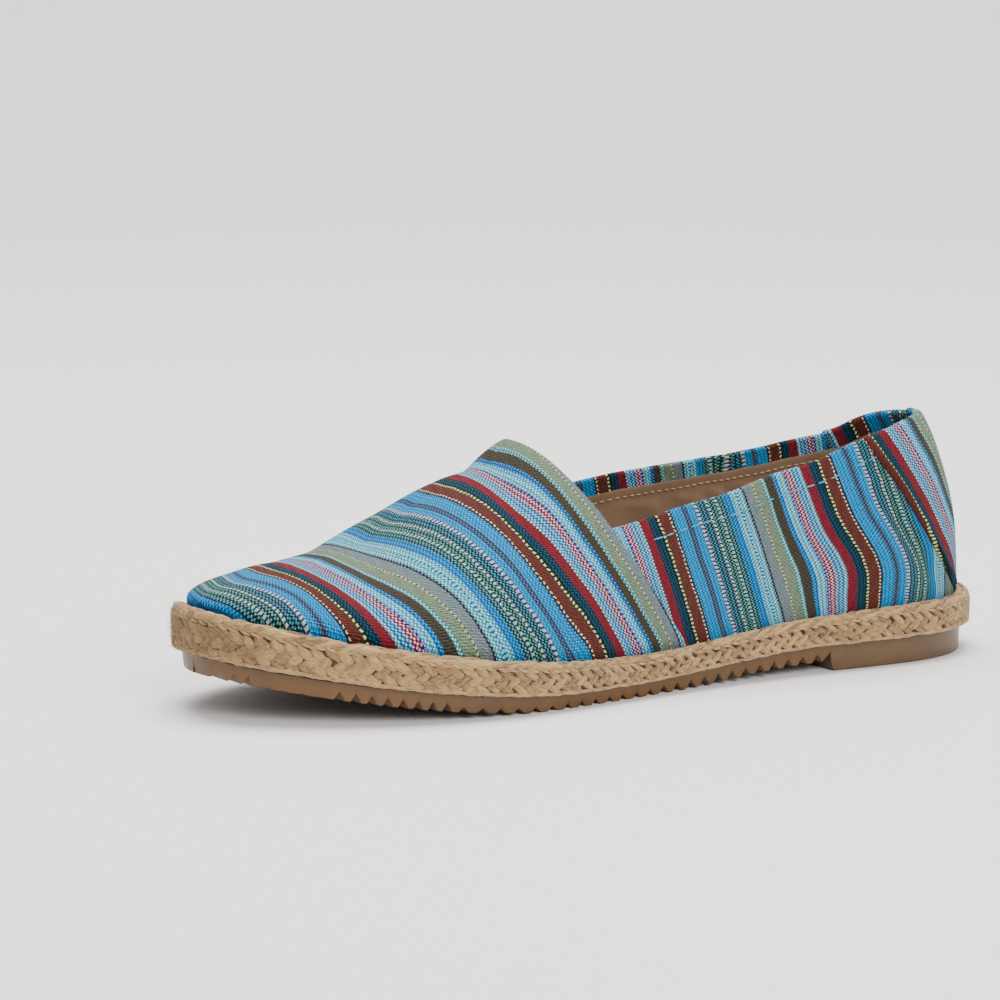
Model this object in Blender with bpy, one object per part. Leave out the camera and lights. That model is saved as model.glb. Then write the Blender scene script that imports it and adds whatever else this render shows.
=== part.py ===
"""A striped slip-on espadrille for the left foot, as four solids.

+X runs to the toe, +Y to the outer side of the foot and +Z up, and the shoe
stands on z = 0. Run it with: blender --background --python part.py
"""

import math

import bmesh
import bpy
import numpy as np

# Driving dimensions, in metres.
LENGTH = 0.270
BALL_WIDTH = 0.097
RUBBER = 0.0045
HEEL_SEAT = 0.0082
TOE_SPRING = 0.0143
INSTEP = 0.0725
BACK_HEIGHT = 0.0745
BAND_THICKNESS = 0.0043
WALL = 0.0018
FOOTBED = 0.0050
CLEARANCE = 0.0003

# What follows from them.
LAP = 0.6 * WALL
RUBBER_INSET = 0.7 * BAND_THICKNESS
UPPER_INSET = BAND_THICKNESS + CLEARANCE
FOOTBED_INSET = UPPER_INSET + WALL + CLEARANCE
RIB_PITCH = 0.0050
RIB_DEPTH = 0.0019

# Places along the shoe, as shares of LENGTH from the heel.
BREAST = 0.246
ARCH_END = 0.530
FLAT_END = 0.611

# The plan over the rope band: along is a share of LENGTH, the two half
# widths are shares of BALL_WIDTH.
PLAN = (
    # along, outer, inner
    (0.000, 0.000, 0.000),
    (0.020, 0.175, 0.170),
    (0.060, 0.285, 0.275),
    (0.120, 0.345, 0.335),
    (0.200, 0.358, 0.352),
    (0.300, 0.360, 0.340),
    (0.400, 0.385, 0.335),
    (0.500, 0.430, 0.355),
    (0.600, 0.480, 0.400),
    (0.680, 0.503, 0.455),
    (0.760, 0.488, 0.480),
    (0.840, 0.430, 0.460),
    (0.900, 0.350, 0.400),
    (0.950, 0.250, 0.305),
    (0.980, 0.160, 0.205),
    (1.000, 0.000, 0.000),
)

# Height of the rope band, as a share of RUBBER + FOOTBED.
BAND_HEIGHT = (
    # along, height
    (0.00, 1.06),
    (0.15, 1.02),
    (0.32, 0.88),
    (0.50, 0.84),
    (0.68, 1.08),
    (0.90, 1.30),
    (1.00, 1.46),
)

# The crown is the line that the two sides of the last meet on. It is the
# ridge of the vamp, and behind the throat it runs on over the opening.
# Station is a share of the half perimeter from the heel, along and aside are
# shares of LENGTH and BALL_WIDTH, height is a share of INSTEP. Square is the
# power of the arch from the band up to the crown: 2 makes it an ellipse.
CROWN = (
    # station, along, aside, height, square
    (0.00, 0.270, 0.00, 1.420, 2.30),
    (0.17, 0.278, 0.00, 1.420, 2.20),
    (0.25, 0.296, 0.00, 1.400, 2.02),
    (0.35, 0.345, -0.01, 1.330, 1.95),
    (0.45, 0.433, -0.03, 1.180, 1.88),
    (0.55, 0.537, -0.05, 1.055, 1.76),
    (0.60, 0.593, -0.05, 0.984, 1.74),
    (0.625, 0.617, -0.05, 0.903, 1.75),
    (0.66, 0.654, -0.05, 0.862, 1.77),
    (0.72, 0.715, -0.05, 0.750, 1.85),
    (0.75, 0.747, -0.05, 0.680, 1.90),
    (0.78, 0.778, -0.04, 0.615, 1.95),
    (0.825, 0.827, -0.03, 0.575, 1.95),
    (0.86, 0.867, -0.03, 0.564, 1.95),
    (0.92, 0.926, -0.01, 0.530, 2.00),
    (0.96, 0.960, 0.00, 0.504, 2.10),
    (0.985, 0.976, 0.00, 0.482, 2.10),
    (1.00, 0.983, 0.00, 0.460, 2.10),
)

# Height of the collar's edge, as a share of BACK_HEIGHT.
TOPLINE = (
    # along, outer, inner
    (0.055, 0.975, 0.975),
    (0.082, 0.990, 0.935),
    (0.110, 0.985, 0.873),
    (0.150, 0.955, 0.843),
    (0.200, 0.912, 0.818),
    (0.250, 0.853, 0.800),
    (0.310, 0.810, 0.790),
    (0.370, 0.755, 0.776),
    (0.430, 0.722, 0.760),
    (0.480, 0.688, 0.730),
    (0.540, 0.658, 0.690),
    (0.600, 0.640, 0.665),
)

# Stations of the seams, at the sole and at the top.
VAMP_EDGE = (0.442, 0.593)
HEEL_SEAM = (0.068, 0.190)
SWEEP = 1.42
HEEL_SWEEP = 0.65


def smooth(table, column, where):
    """A column of a table, with a cubic through its rows."""
    along = np.array([row[0] for row in table])
    values = np.array([row[column] for row in table])
    slopes = np.gradient(values, along)
    where = np.clip(where, along[0], along[-1])
    i = np.clip(np.searchsorted(along, where) - 1, 0, len(along) - 2)
    step = along[i + 1] - along[i]
    t = (where - along[i]) / step
    return (
        values[i] * (1 + 2 * t) * (1 - t) ** 2
        + slopes[i] * step * t * (1 - t) ** 2
        + values[i + 1] * t * t * (3 - 2 * t)
        - slopes[i + 1] * step * t * t * (1 - t)
    )


def ease(value):
    value = np.clip(value, 0.0, 1.0)
    return value * value * (3 - 2 * value)


def share(x):
    return x / LENGTH + 0.5


def closed_curve(points, count):
    """A smooth closed curve through points, and its outward normals."""
    ring = np.vstack([points, points[:1]])
    steps = np.hypot(*np.diff(ring, axis=0).T)
    knots = np.append(0.0, np.cumsum(steps))
    size = len(points)
    matrix = np.zeros((size, size))
    right = np.zeros((size, 2))
    for i in range(size):
        before, after = steps[i - 1], steps[i]
        matrix[i, i] = 2 * (before + after)
        matrix[i, i - 1] += before
        matrix[i, (i + 1) % size] += after
        rise = (ring[i + 1] - ring[i]) / after
        right[i] = 6 * (rise - (ring[i] - points[i - 1]) / before)
    bends = np.linalg.solve(matrix, right)
    bends = np.vstack([bends, bends[:1]])
    where = np.linspace(0, knots[-1], count, endpoint=False)
    i = np.clip(np.searchsorted(knots, where, side="right") - 1, 0, size - 1)
    step = steps[i][:, None]
    b = ((where - knots[i]) / steps[i])[:, None]
    a = 1 - b
    curve = (
        a * ring[i]
        + b * ring[i + 1]
        + ((a**3 - a) * bends[i] + (b**3 - b) * bends[i + 1]) * step**2 / 6
    )
    tangent = np.roll(curve, -1, axis=0) - np.roll(curve, 1, axis=0)
    tangent /= np.hypot(*tangent.T)[:, None]
    return curve, np.column_stack([-tangent[:, 1], tangent[:, 0]])


def plan_curve(count=720):
    """The shoe's plan from the heel round the outer side, toe and inner side."""
    outer = [((a - 0.5) * LENGTH, b * BALL_WIDTH) for a, b, c in PLAN]
    inner = [((a - 0.5) * LENGTH, -c * BALL_WIDTH) for a, b, c in PLAN[1:-1]]
    return closed_curve(np.array(outer + inner[::-1]), count)


CURVE, NORMALS = plan_curve()
# The origin is the middle of the plan's box, so the foot's axis sits aside.
AXIS = -(CURVE[:, 1].max() + CURVE[:, 1].min()) / 2
CURVE[:, 0] -= (CURVE[:, 0].max() + CURVE[:, 0].min()) / 2
CURVE[:, 1] += AXIS


def side_curve(side, inset):
    """Half of the plan, heel to toe, moved in by inset, with its stations."""
    ring = CURVE - NORMALS * inset
    tip = int(np.argmax(ring[:, 0]))
    if side > 0:
        half = ring[: tip + 1]
    else:
        half = np.vstack([ring[tip:], ring[:1]])[::-1]
    steps = np.hypot(*np.diff(half, axis=0).T)
    stations = np.append(0.0, np.cumsum(steps))
    return half, stations / stations[-1]


def plan_point(side, inset, station):
    half, stations = side_curve(side, inset)
    x = np.interp(station, stations, half[:, 0])
    y = np.interp(station, stations, half[:, 1])
    return x, y


def half_width(side, inset, x):
    half, _ = side_curve(side, inset)
    return np.interp(x, half[:, 0], half[:, 1])


def sole_rise(x):
    """Rise of the sheet of rubber over flat ground: arch, flat, toe spring."""
    a = share(x)
    arch = ease((ARCH_END - a) / (ARCH_END - BREAST))
    toe = np.clip((a - FLAT_END) / (1 - FLAT_END), 0, None)
    return (HEEL_SEAT - RUBBER) * arch + TOE_SPRING * toe**1.5


def sole_top(x):
    return RUBBER + sole_rise(x)


def band_top(x):
    height = smooth(BAND_HEIGHT, 1, share(x)) * (RUBBER + FOOTBED)
    return sole_top(x) + height


def crown_point(station):
    return (
        (smooth(CROWN, 1, station) - 0.5) * LENGTH,
        smooth(CROWN, 2, station) * BALL_WIDTH + AXIS,
        smooth(CROWN, 3, station) * INSTEP,
        smooth(CROWN, 4, station),
    )


def last_point(side, station, turn):
    """A point of the last: turn goes from 0 at the band to 1 on the crown."""
    x, y = plan_point(side, UPPER_INSET, station)
    z = band_top(x)
    crown_x, crown_y, crown_z, square = crown_point(station)
    angle = turn * math.pi / 2
    inward = 1 - math.cos(angle) ** (2 / square)
    upward = math.sin(angle) ** (2 / square)
    return np.array([
        x + (crown_x - x) * inward,
        y + (crown_y - y) * inward,
        z + (crown_z - z) * upward,
    ])


def topline_turn(side, station):
    """The turn at which the last reaches the collar's edge."""
    low, high = 0.0, 1.0
    for _ in range(24):
        turn = (low + high) / 2
        point = last_point(side, station, turn)
        edge = smooth(TOPLINE, 1 if side > 0 else 2, share(point[0]))
        if point[2] < edge * BACK_HEIGHT:
            low = turn
        else:
            high = turn
    return turn


def sweep(turn):
    """How far along a seam has come at a turn: it meets the crown squarely."""
    return 1 - (1 - turn) ** SWEEP


def throat_corner(side):
    """Where the vamp's edge crosses the collar, as station and turn."""
    foot, top = VAMP_EDGE
    turn = 0.5
    for _ in range(20):
        station = foot + (top - foot) * sweep(turn)
        turn = 0.5 * (turn + topline_turn(side, station))
    return station, turn


def column(side, foot, top, turns, at_heel=0.0):
    """Points up the last, from station foot to station top."""
    full = turns[-1]
    points = []
    for turn in turns:
        like_vamp = sweep(turn) / sweep(full)
        like_heel = (turn / full) ** HEEL_SWEEP
        come = like_vamp + (like_heel - like_vamp) * at_heel
        station = foot + (top - foot) * come
        points.append(last_point(side, station, turn))
    low = points[0].copy()
    low[2] = sole_top(low[0]) + CLEARANCE
    return [low] + points


def new_object(name, mesh, color, roughness):
    material = bpy.data.materials.new(name)
    material.use_nodes = True
    shader = material.node_tree.nodes["Principled BSDF"]
    shader.inputs["Base Color"].default_value = (*color, 1.0)
    shader.inputs["Roughness"].default_value = roughness
    shader.inputs["Metallic"].default_value = 0.0
    mesh.materials.append(material)
    obj = bpy.data.objects.new(name, mesh)
    SHOE.objects.link(obj)
    return obj


def finish_mesh(name, bm):
    bmesh.ops.recalc_face_normals(bm, faces=bm.faces)
    mesh = bpy.data.meshes.new(name)
    bm.to_mesh(mesh)
    bm.free()
    return mesh


def loft(name, sections, ring=False):
    """A solid through sections of one size, as a ring or with closed ends."""
    bm = bmesh.new()
    rows = [[bm.verts.new(point) for point in section] for section in sections]
    count = len(rows)
    for i in range(count if ring else count - 1):
        here, there = rows[i], rows[(i + 1) % count]
        for j in range(len(here)):
            k = (j + 1) % len(here)
            bm.faces.new((here[j], here[k], there[k], there[j]))
    if not ring:
        bm.faces.new(rows[0])
        bm.faces.new(rows[-1])
    bmesh.ops.remove_doubles(bm, verts=bm.verts, dist=1e-6)
    return finish_mesh(name, bm)


def rib_stations():
    """x and depth of each corner of the tread, heel breast to toe."""
    corners = []
    breast = (BREAST - 0.5) * LENGTH
    x = breast + 0.4 * RIB_PITCH
    smooth_start = 0.80
    smooth_end = 0.925
    toe_end = 0.975
    while share(x + RIB_PITCH) < toe_end:
        a = share(x + RIB_PITCH / 2)
        if a < smooth_start or a > smooth_end:
            corners += [
                (x + 0.22 * RIB_PITCH, 0.0),
                (x + 0.48 * RIB_PITCH, RIB_DEPTH),
                (x + 0.56 * RIB_PITCH, RIB_DEPTH),
                (x + 0.82 * RIB_PITCH, 0.0),
            ]
        else:
            corners.append((x + 0.5 * RIB_PITCH, 0.0))
        x += RIB_PITCH
    return corners


def outsole():
    """The rubber sole: ribbed sheet in front, solid block under the heel."""
    front = CURVE[:, 0].max() - RUBBER_INSET
    back = CURVE[:, 0].min() + RUBBER_INSET
    breast = (BREAST - 0.5) * LENGTH
    radius = 0.33 * BALL_WIDTH
    profile = []
    for i in range(13):
        x = back + radius * (1 - math.cos(i / 12 * math.pi / 2))
        profile.append((x, 0.0))
    profile.append((breast - 0.3 * RIB_PITCH, 0.0))
    profile.append((breast, float(sole_rise(breast)) + RIB_DEPTH))
    for x, depth in rib_stations():
        profile.append((x, float(sole_rise(x)) + depth))
    last = profile[-1][0]
    for i in range(1, 9):
        x = last + (front - last) * math.sin(i / 8 * math.pi / 2)
        profile.append((x, float(sole_rise(x))))
    sections = []
    for x, bottom in profile:
        top = float(sole_top(x))
        outer = float(half_width(1, RUBBER_INSET, x))
        inner = float(half_width(-1, RUBBER_INSET, x))
        foot_outer = float(half_width(1, RUBBER_INSET * 1.15, x))
        foot_inner = float(half_width(-1, RUBBER_INSET * 1.15, x))
        sections.append([
            (x, outer, top),
            (x, inner, top),
            (x, foot_inner, bottom),
            (x, foot_outer, bottom),
        ])
    mesh = loft("outsole", sections)
    return new_object("outsole", mesh, (0.42, 0.29, 0.17), 0.6)


def rope_band():
    """The braided band: a rolled bead above two rows of plait."""
    profile = (
        # inset and height, as shares of the band's thickness and height
        (1.00, 0.00),
        (0.22, 0.00),
        (0.04, 0.10),
        (0.00, 0.22),
        (0.06, 0.35),
        (0.14, 0.42),
        (0.04, 0.49),
        (0.00, 0.60),
        (0.08, 0.72),
        (0.20, 0.78),
        (0.12, 0.84),
        (0.16, 0.93),
        (0.36, 1.00),
        (0.70, 0.99),
        (1.00, 0.94),
    )
    count = 120
    sections = []
    for i in range(count):
        k = int(i * len(CURVE) / count)
        section = []
        for inset, height in profile:
            x, y = CURVE[k] - NORMALS[k] * inset * BAND_THICKNESS
            low = float(sole_top(x)) + CLEARANCE
            section.append((x, y, low + height * (float(band_top(x)) - low)))
        sections.append(section)
    mesh = loft("rope_band", sections, ring=True)
    return new_object("rope_band", mesh, (0.48, 0.30, 0.15), 0.9)


def insole():
    """The footbed that fills the shoe's floor inside the upper."""
    back = CURVE[:, 0].min() + FOOTBED_INSET
    front = CURVE[:, 0].max() - FOOTBED_INSET
    count = 44
    sections = []
    for i in range(count + 1):
        x = (back + front) / 2 - (front - back) / 2 * math.cos(math.pi * i / count)
        low = float(sole_top(x)) + CLEARANCE
        outer = float(half_width(1, FOOTBED_INSET, x))
        inner = float(half_width(-1, FOOTBED_INSET, x))
        middle = (outer + inner) / 2
        sections.append([
            (x, outer, low + FOOTBED),
            (x, middle, low + 0.8 * FOOTBED),
            (x, inner, low + FOOTBED),
            (x, inner, low),
            (x, outer, low),
        ])
    mesh = loft("insole", sections)
    return new_object("insole", mesh, (0.26, 0.17, 0.11), 0.85)


def upper_columns(side):
    """Columns of the shell for one side, as (layer, points), toe to heel."""
    corner_station, corner_turn = throat_corner(side)
    wall_rows = 9
    over_rows = 8
    wall = [corner_turn * i / wall_rows for i in range(wall_rows + 1)]
    over = [
        corner_turn + (1 - corner_turn) * i / over_rows
        for i in range(1, over_rows + 1)
    ]
    vamp = []
    count = 26
    for i in range(count + 1):
        t = 1 - (1 - i / count) ** 1.3
        foot = VAMP_EDGE[0] + (1 - VAMP_EDGE[0]) * t
        top = VAMP_EDGE[1] + (1 - VAMP_EDGE[1]) * t
        vamp.append(column(side, foot, top, wall + over))
    vamp[-1][2:] = [vamp[-1][1]] * (len(wall + over) - 1)
    quarter = []
    count = 18
    for i in range(count + 1):
        t = i / count
        foot = VAMP_EDGE[0] + (HEEL_SEAM[0] - VAMP_EDGE[0]) * t
        top = corner_station + (HEEL_SEAM[1] - corner_station) * t
        turn = topline_turn(side, top)
        turns = [turn * j / wall_rows for j in range(wall_rows + 1)]
        quarter.append(column(side, foot, top, turns, t))
    heel = []
    count = 9
    for i in range(count + 1):
        t = i / count
        foot = HEEL_SEAM[0] * (1 - t)
        top = HEEL_SEAM[1] * (1 - t)
        turn = topline_turn(side, top)
        turns = [turn * j / wall_rows for j in range(wall_rows + 1)]
        heel.append(column(side, foot, top, turns, 1.0))
    return {"vamp": vamp, "quarter": quarter, "heel": heel}


def upper_sheet():
    """The last's face as one sheet of faces, each marked with its layer."""
    sheet = bmesh.new()
    layer = sheet.faces.layers.int.new("layer")
    for side in (1, -1):
        for number, columns in enumerate(upper_columns(side).values()):
            grid = [[sheet.verts.new(point) for point in line] for line in columns]
            for here, there in zip(grid, grid[1:]):
                for j in range(len(here) - 1):
                    face = (here[j], here[j + 1], there[j + 1], there[j])
                    sheet.faces.new(face)[layer] = number
    bmesh.ops.remove_doubles(sheet, verts=sheet.verts, dist=2e-5)
    bmesh.ops.recalc_face_normals(sheet, faces=sheet.faces)
    sheet.normal_update()
    highest = max(sheet.verts, key=lambda vert: vert.co.z)
    middle = sum((vert.co.x for vert in sheet.verts)) / len(sheet.verts)
    outward = highest.normal.x if highest.co.x > middle else -highest.normal.x
    if outward < 0:
        bmesh.ops.reverse_faces(sheet, faces=sheet.faces)
        sheet.normal_update()
    return sheet, layer


def upper():
    """The hollow shell: vamp lapped over the quarters, heel piece over both."""
    lifts = (LAP, 0.0, 0.6 * LAP)
    sheet, layer = upper_sheet()
    bm = bmesh.new()
    inside = {}
    outside = {}
    for vert in sheet.verts:
        inside[vert.index] = bm.verts.new(vert.co - vert.normal * WALL)
        over_band = (vert.co.z - float(band_top(vert.co.x))) / (3 * LAP)
        for number in {face[layer] for face in vert.link_faces}:
            lift = lifts[number] * float(ease(over_band))
            place = vert.co + vert.normal * lift
            outside[vert.index, number] = bm.verts.new(place)
    for face in sheet.faces:
        number = face[layer]
        bm.faces.new([outside[vert.index, number] for vert in face.verts])
        bm.faces.new([inside[vert.index] for vert in reversed(face.verts)])
    for edge in sheet.edges:
        a, b = (vert.index for vert in edge.verts)
        numbers = [face[layer] for face in edge.link_faces]
        if len(numbers) == 1:
            n = numbers[0]
            bm.faces.new((outside[a, n], outside[b, n], inside[b], inside[a]))
        elif numbers[0] != numbers[1]:
            m, n = numbers
            bm.faces.new((outside[a, m], outside[b, m], outside[b, n], outside[a, n]))
    for vert in sheet.verts:
        numbers = sorted({face[layer] for face in vert.link_faces})
        if vert.is_boundary and len(numbers) == 2:
            i = vert.index
            corner = (outside[i, numbers[0]], outside[i, numbers[1]], inside[i])
            bm.faces.new(corner)
    sheet.free()
    bmesh.ops.remove_doubles(bm, verts=bm.verts, dist=1e-6)
    bmesh.ops.dissolve_degenerate(bm, dist=1e-6, edges=bm.edges)
    mesh = finish_mesh("upper", bm)
    return new_object("upper", mesh, (0.10, 0.33, 0.47), 0.85)


for old in list(bpy.data.objects):
    bpy.data.objects.remove(old)
SHOE = bpy.data.collections.new("espadrille")
bpy.context.scene.collection.children.link(SHOE)
outsole()
rope_band()
insole()
upper()
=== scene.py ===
# %% [markdown]
# # A striped, rope-soled slip-on shoe
#
# An espadrille is four things: a rubber sole, a braid of jute round its edge,
# a footbed, and a cloth upper that is stitched down behind the braid. This
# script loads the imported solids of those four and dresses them. The cloth, the
# braid, the rubber and the footbed are each rebuilt with the detail that the
# real ones show, in the place that their solid holds.

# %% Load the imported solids
import math

import bmesh
import bpy
import numpy as np
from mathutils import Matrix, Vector


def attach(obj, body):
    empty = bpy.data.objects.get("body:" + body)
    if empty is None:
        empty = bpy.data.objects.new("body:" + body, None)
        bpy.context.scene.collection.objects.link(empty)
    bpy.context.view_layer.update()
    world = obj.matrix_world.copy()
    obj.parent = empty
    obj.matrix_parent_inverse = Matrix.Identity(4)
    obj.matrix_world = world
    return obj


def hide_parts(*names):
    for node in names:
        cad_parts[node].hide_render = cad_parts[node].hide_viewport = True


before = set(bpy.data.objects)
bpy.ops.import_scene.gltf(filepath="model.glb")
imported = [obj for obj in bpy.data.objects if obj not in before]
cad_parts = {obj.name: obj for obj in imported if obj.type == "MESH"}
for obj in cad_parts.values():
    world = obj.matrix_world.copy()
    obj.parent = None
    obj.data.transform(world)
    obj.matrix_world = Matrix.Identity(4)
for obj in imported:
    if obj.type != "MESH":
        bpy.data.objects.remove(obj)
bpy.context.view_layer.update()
print("solids:", sorted(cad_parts))

# %% [markdown]
# ## Sizes
#
# The dressed shoe follows the same sizes as its solids: lengths in metres,
# +X to the toe, +Y to the outer side of this left foot, +Z up. The tables are
# the ones a shoemaker would keep for a last: the plan of the sole, the line
# that the two sides of the last meet on, and the height of the collar.

# %% Sizes of the last and the sole
LENGTH = 0.270
BALL_WIDTH = 0.097
RUBBER = 0.0045
HEEL_SEAT = 0.0082
TOE_SPRING = 0.0143
INSTEP = 0.0725
BACK_HEIGHT = 0.0745
BAND_THICKNESS = 0.0043
WALL = 0.0018
CLOTH_THICK = 0.0009
FOOTBED = 0.0050
CLEARANCE = 0.0003
LAP = 0.6 * WALL
RUBBER_INSET = 0.7 * BAND_THICKNESS
UPPER_INSET = BAND_THICKNESS + CLEARANCE
FOOTBED_INSET = UPPER_INSET + WALL + CLEARANCE
RIB_PITCH = 0.0050
RIB_DEPTH = 0.0019
BREAST = 0.246
ARCH_END = 0.530
FLAT_END = 0.611
MM = 0.001

PLAN = (
    # along, outer, inner
    (0.000, 0.000, 0.000),
    (0.020, 0.175, 0.170),
    (0.060, 0.285, 0.275),
    (0.120, 0.345, 0.335),
    (0.200, 0.358, 0.352),
    (0.300, 0.360, 0.340),
    (0.400, 0.385, 0.335),
    (0.500, 0.430, 0.355),
    (0.600, 0.480, 0.400),
    (0.680, 0.503, 0.455),
    (0.760, 0.488, 0.480),
    (0.840, 0.430, 0.460),
    (0.900, 0.350, 0.400),
    (0.950, 0.250, 0.305),
    (0.980, 0.160, 0.205),
    (1.000, 0.000, 0.000),
)
BAND_HEIGHT = (
    # along, height
    (0.00, 1.06),
    (0.15, 1.02),
    (0.32, 0.88),
    (0.50, 0.84),
    (0.68, 1.08),
    (0.90, 1.30),
    (1.00, 1.46),
)
CROWN = (
    # station, along, aside, height, square
    (0.00, 0.270, 0.00, 1.420, 2.30),
    (0.17, 0.278, 0.00, 1.420, 2.20),
    (0.25, 0.296, 0.00, 1.400, 2.02),
    (0.35, 0.345, -0.01, 1.330, 1.95),
    (0.45, 0.433, -0.03, 1.180, 1.88),
    (0.55, 0.537, -0.05, 1.055, 1.76),
    (0.60, 0.593, -0.05, 0.984, 1.74),
    (0.625, 0.617, -0.05, 0.903, 1.75),
    (0.66, 0.654, -0.05, 0.862, 1.77),
    (0.72, 0.715, -0.05, 0.750, 1.85),
    (0.75, 0.747, -0.05, 0.680, 1.90),
    (0.78, 0.778, -0.04, 0.615, 1.95),
    (0.825, 0.827, -0.03, 0.575, 1.95),
    (0.86, 0.867, -0.03, 0.564, 1.95),
    (0.92, 0.926, -0.01, 0.530, 2.00),
    (0.96, 0.960, 0.00, 0.504, 2.10),
    (0.985, 0.976, 0.00, 0.482, 2.10),
    (1.00, 0.983, 0.00, 0.460, 2.10),
)
TOPLINE = (
    # along, outer, inner
    (0.055, 0.975, 0.975),
    (0.082, 0.990, 0.935),
    (0.110, 0.985, 0.873),
    (0.150, 0.955, 0.843),
    (0.200, 0.912, 0.818),
    (0.250, 0.853, 0.800),
    (0.310, 0.810, 0.790),
    (0.370, 0.755, 0.776),
    (0.430, 0.722, 0.760),
    (0.480, 0.688, 0.730),
    (0.540, 0.658, 0.690),
    (0.600, 0.640, 0.665),
)
VAMP_EDGE = (0.442, 0.593)
HEEL_SEAMS = {1: (0.060, 0.190), -1: (0.050, 0.130)}
SWEEP = 1.42
VAMP_SWEEP = 1.62
HEEL_SWEEP = 0.56

# %% [markdown]
# ## The last as a surface
#
# A shoe is built over a last, so every piece of cloth here is a patch of one
# surface. A point of that surface has a side, a station from heel to toe, and
# a turn from the braid up to the crown line. The patches are grids of such
# points. Another way would be to model each patch by hand and shrinkwrap it,
# but a formula keeps all the layers an exact cloth's thickness apart.


# %% Curves through the tables
def smooth(table, column, where):
    """A column of a table, with a cubic through its rows."""
    along = np.array([row[0] for row in table])
    values = np.array([row[column] for row in table])
    slopes = np.gradient(values, along)
    where = np.clip(where, along[0], along[-1])
    i = np.clip(np.searchsorted(along, where) - 1, 0, len(along) - 2)
    step = along[i + 1] - along[i]
    t = (where - along[i]) / step
    return (
        values[i] * (1 + 2 * t) * (1 - t) ** 2
        + slopes[i] * step * t * (1 - t) ** 2
        + values[i + 1] * t * t * (3 - 2 * t)
        - slopes[i + 1] * step * t * t * (1 - t)
    )


def ease(value):
    value = np.clip(value, 0.0, 1.0)
    return value * value * (3 - 2 * value)


def unit(vectors):
    """Vectors of the length 1. A zero vector stays zero."""
    return vectors / np.maximum(np.linalg.norm(vectors, axis=-1, keepdims=True), 1e-15)


def closed_curve(points, count):
    """A smooth closed curve through points, and its outward normals."""
    ring = np.vstack([points, points[:1]])
    steps = np.hypot(*np.diff(ring, axis=0).T)
    knots = np.append(0.0, np.cumsum(steps))
    size = len(points)
    matrix = np.zeros((size, size))
    right = np.zeros((size, 2))
    for i in range(size):
        before, after = steps[i - 1], steps[i]
        matrix[i, i] = 2 * (before + after)
        matrix[i, i - 1] += before
        matrix[i, (i + 1) % size] += after
        rise = (ring[i + 1] - ring[i]) / after
        right[i] = 6 * (rise - (ring[i] - points[i - 1]) / before)
    bends = np.linalg.solve(matrix, right)
    bends = np.vstack([bends, bends[:1]])
    where = np.linspace(0, knots[-1], count, endpoint=False)
    i = np.clip(np.searchsorted(knots, where, side="right") - 1, 0, size - 1)
    step = steps[i][:, None]
    b = ((where - knots[i]) / steps[i])[:, None]
    a = 1 - b
    curve = (
        a * ring[i]
        + b * ring[i + 1]
        + ((a**3 - a) * bends[i] + (b**3 - b) * bends[i + 1]) * step**2 / 6
    )
    tangent = np.roll(curve, -1, axis=0) - np.roll(curve, 1, axis=0)
    tangent /= np.hypot(*tangent.T)[:, None]
    return curve, np.column_stack([-tangent[:, 1], tangent[:, 0]])


outer_half = [((a - 0.5) * LENGTH, b * BALL_WIDTH) for a, b, c in PLAN]
inner_half = [((a - 0.5) * LENGTH, -c * BALL_WIDTH) for a, b, c in PLAN[1:-1]]
RING, RING_OUT = closed_curve(np.array(outer_half + inner_half[::-1]), 2880)
AXIS = -(RING[:, 1].max() + RING[:, 1].min()) / 2
RING[:, 0] -= (RING[:, 0].max() + RING[:, 0].min()) / 2
RING[:, 1] += AXIS
ROUND = float(np.hypot(*(np.roll(RING, -1, axis=0) - RING).T).sum())
print(f"round the braid: {ROUND / MM:.0f} mm")


# %% Heights of the sole and the braid
def share(x):
    return x / LENGTH + 0.5


def sole_rise(x):
    """Rise of the sheet of rubber over flat ground: arch, flat, toe spring."""
    a = share(x)
    arch = ease((ARCH_END - a) / (ARCH_END - BREAST))
    toe = np.clip((a - FLAT_END) / (1 - FLAT_END), 0, None)
    return (HEEL_SEAT - RUBBER) * arch + TOE_SPRING * toe**1.5


def sole_top(x):
    return RUBBER + sole_rise(x)


def band_top(x):
    height = smooth(BAND_HEIGHT, 1, share(x)) * (RUBBER + FOOTBED)
    return sole_top(x) + height


# %% Points of the last
HALVES = {}


def half_plan(side, inset):
    """Half of the plan, heel to toe, moved in by inset, with its stations."""
    if (side, inset) not in HALVES:
        ring = RING - RING_OUT * inset
        tip = int(np.argmax(ring[:, 0]))
        half = ring[: tip + 1] if side > 0 else np.vstack([ring[tip:], ring[:1]])[::-1]
        stations = np.append(0.0, np.cumsum(np.hypot(*np.diff(half, axis=0).T)))
        HALVES[side, inset] = half, stations / stations[-1]
    return HALVES[side, inset]


def last(side, station, turn):
    """Points of the last: turn goes from 0 at the braid to 1 on the crown."""
    half, stations = half_plan(side, UPPER_INSET)
    x = np.interp(station, stations, half[:, 0])
    y = np.interp(station, stations, half[:, 1])
    along, aside, height, square = (smooth(CROWN, k, station) for k in (1, 2, 3, 4))
    foot = np.stack([x, y, band_top(x)], axis=-1)
    crown = [(along - 0.5) * LENGTH, aside * BALL_WIDTH + AXIS, height * INSTEP]
    angle = turn * math.pi / 2
    inward = 1 - np.clip(np.cos(angle), 0, 1) ** (2 / square)
    upward = np.clip(np.sin(angle), 0, 1) ** (2 / square)
    come = np.stack([inward, inward, upward], axis=-1)
    return foot + (np.stack(crown, axis=-1) - foot) * come


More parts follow.
